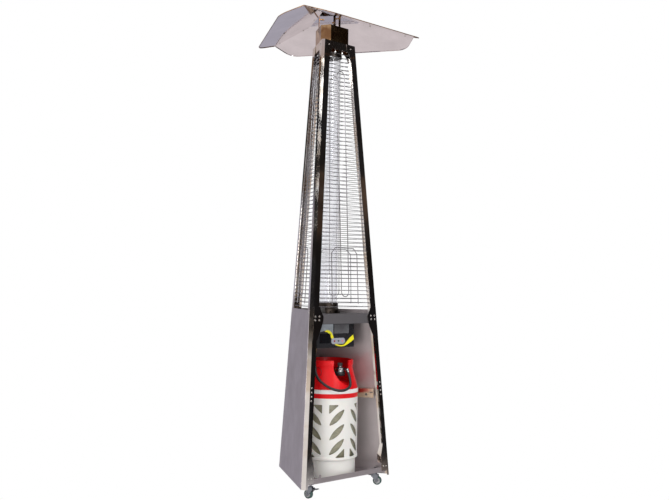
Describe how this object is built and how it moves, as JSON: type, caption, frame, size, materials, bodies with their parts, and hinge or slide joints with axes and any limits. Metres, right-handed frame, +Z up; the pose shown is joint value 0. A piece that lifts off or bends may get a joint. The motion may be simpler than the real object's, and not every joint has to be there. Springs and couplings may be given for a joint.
{
  "type": "outdoor heater",
  "caption": "Free-standing triangular gas patio heater: tapered steel frame, wire guards, glass flame tube, reflector hood, open cabinet with a gas cylinder, and casters.",
  "frame": {"origin": "on the floor, on the tapered frame's vertical axis", "axes": "+Z up; the open front with the control panel faces -Y; +X is to the right of someone facing it"},
  "size_m": [0.856, 0.763, 2.3403],
  "materials": {
    "satin_steel": "satin brushed stainless",
    "mirror_steel": "mirror-polished stainless",
    "grey_sheet": "dark grey satin sheet",
    "wire": "polished wire",
    "quartz": "clear quartz, faintly hazy",
    "dark_steel": "heat-darkened steel",
    "burner_steel": "plain steel",
    "tinted_steel": "heat-tinted polished steel, gold to brown",
    "tinted_bar": "heat-tinted brown bar",
    "hood_steel": "satin brushed stainless reflector",
    "screw_steel": "stainless screw heads",
    "box_paint": "black satin paint",
    "panel_label": "printed panel in black and silver with a plain yellow stripe",
    "black_gloss": "black glossy window",
    "silver_trim": "silver trim",
    "brass": "satin brass",
    "pipe_alu": "plain aluminium pipe",
    "casing_white": "off-white moulded plastic",
    "vessel_olive": "olive translucent composite",
    "collar_red": "bright red moulded plastic",
    "band_white": "white plastic",
    "zinc": "polished die-cast zinc",
    "hose_rubber": "black rubber hose",
    "caster_zinc": "zinc-plated pressed steel",
    "caster_black": "dark plated pedal",
    "hub_grey": "light grey plastic",
    "tyre_green": "grey-green soft tread",
    "button_red": "dark red plastic",
    "button_dark": "dark plastic",
    "button_pink": "pink-red translucent plastic",
    "black_plastic": "black plastic"
  },
  "bodies": {
    "frame": {"base_tray": "satin_steel", "lower_post_front_left": "mirror_steel", "lower_post_front_right": "mirror_steel", "lower_post_rear": "mirror_steel", "upper_post_front_left": "mirror_steel", "upper_post_front_right": "mirror_steel", "upper_post_rear": "mirror_steel", "splice_plates": "mirror_steel", "side_panel_left": "satin_steel", "side_panel_right": "satin_steel", "wall_brace": "satin_steel", "burner_shelf": "grey_sheet", "guard_front": "wire", "guard_left": "wire", "guard_right": "wire", "flame_tube": "quartz", "tube_seat": "dark_steel", "burner_base": "dark_steel", "burner": "burner_steel", "pilot_burner": "burner_steel", "top_ring": "mirror_steel", "tube_cap": "dark_steel", "exhaust_duct": "tinted_steel", "hood_wing_front": "hood_steel", "hood_wing_left": "hood_steel", "hood_wing_right": "hood_steel", "hood_plate": "hood_steel", "hood_straps": "tinted_bar", "hood_screws": "screw_steel", "frame_screws": "screw_steel", "control_box": "box_paint", "control_panel": "panel_label", "receiver_window": "black_gloss", "button_badge": "silver_trim", "gas_inlet": "brass", "burner_feed": "pipe_alu", "bottle_casing": "casing_white", "bottle_vessel": "vessel_olive", "bottle_collar": "collar_red", "bottle_band": "band_white", "bottle_valve": "brass", "regulator": "zinc", "gas_hose": "hose_rubber", "caster_stems": "caster_zinc"},
    "fork_front_left": {"caster_fork_front_left": "caster_zinc"},
    "wheel_front_left": {"wheel_hub_front_left": "hub_grey", "wheel_tyre_front_left": "tyre_green"},
    "pedal_front_left": {"caster_pedal_front_left": "caster_black"},
    "fork_front_right": {"caster_fork_front_right": "caster_zinc"},
    "wheel_front_right": {"wheel_hub_front_right": "hub_grey", "wheel_tyre_front_right": "tyre_green"},
    "pedal_front_right": {"caster_pedal_front_right": "caster_black"},
    "fork_rear": {"caster_fork_rear": "caster_zinc"},
    "wheel_rear": {"wheel_hub_rear": "hub_grey", "wheel_tyre_rear": "tyre_green"},
    "pedal_rear": {"caster_pedal_rear": "caster_black"},
    "button_red": {"button_red": "button_red"},
    "button_dark": {"button_dark": "button_dark"},
    "button_pink": {"button_pink": "button_pink"},
    "regulator_knob": {"regulator_knob": "black_plastic"}
  },
  "joints": [
    {"name": "swivel_front_left", "type": "hinge", "parent": "frame", "child": "fork_front_left", "pos_m": [-0.22309, -0.14487, 0.055], "axis": [0, 0, 1], "continuous": true},
    {"name": "wheel_spin_front_left", "type": "hinge", "parent": "fork_front_left", "child": "wheel_front_left", "pos_m": [-0.22517, -0.13306, 0.0215], "axis": [-0.9848, -0.1736, 0], "continuous": true},
    {"name": "brake_pedal_front_left", "type": "hinge", "parent": "fork_front_left", "child": "pedal_front_left", "pos_m": [-0.22083, -0.15768, 0.0435], "axis": [0.9848, 0.1736, 0], "range_deg": [0, 14]},
    {"name": "swivel_front_right", "type": "hinge", "parent": "frame", "child": "fork_front_right", "pos_m": [0.23701, -0.12076, 0.055], "axis": [0, 0, 1], "continuous": true},
    {"name": "wheel_spin_front_right", "type": "hinge", "parent": "fork_front_right", "child": "wheel_front_right", "pos_m": [0.24301, -0.13115, 0.0215], "axis": [0.866, 0.5, 0], "continuous": true},
    {"name": "brake_pedal_front_right", "type": "hinge", "parent": "fork_front_right", "child": "pedal_front_right", "pos_m": [0.23051, -0.1095, 0.0435], "axis": [-0.866, -0.5, 0], "range_deg": [0, 14]},
    {"name": "swivel_rear", "type": "hinge", "parent": "frame", "child": "fork_rear", "pos_m": [-0.01073, 0.20472, 0.055], "axis": [0, 0, 1], "continuous": true},
    {"name": "wheel_spin_rear", "type": "hinge", "parent": "fork_rear", "child": "wheel_rear", "pos_m": [-0.00864, 0.1929, 0.0215], "axis": [0.9848, 0.1736, 0], "continuous": true},
    {"name": "brake_pedal_rear", "type": "hinge", "parent": "fork_rear", "child": "pedal_rear", "pos_m": [-0.01299, 0.21752, 0.0435], "axis": [-0.9848, -0.1736, 0], "range_deg": [0, 14]},
    {"name": "press_red", "type": "slide", "parent": "frame", "child": "button_red", "axis": [0, 1, 0], "range_m": [0, 0.0015], "stiffness_N_per_m": 600, "springref_m": -0.002},
    {"name": "press_dark", "type": "slide", "parent": "frame", "child": "button_dark", "axis": [0, 1, 0], "range_m": [0, 0.0015], "stiffness_N_per_m": 600, "springref_m": -0.002},
    {"name": "press_pink", "type": "slide", "parent": "frame", "child": "button_pink", "axis": [0, 1, 0], "range_m": [0, 0.0015], "stiffness_N_per_m": 600, "springref_m": -0.002},
    {"name": "regulator_turn", "type": "hinge", "parent": "frame", "child": "regulator_knob", "pos_m": [0.00279, -0.09795, 0.61], "axis": [0, 0, 1], "range_deg": [0, 90]}
  ]
}
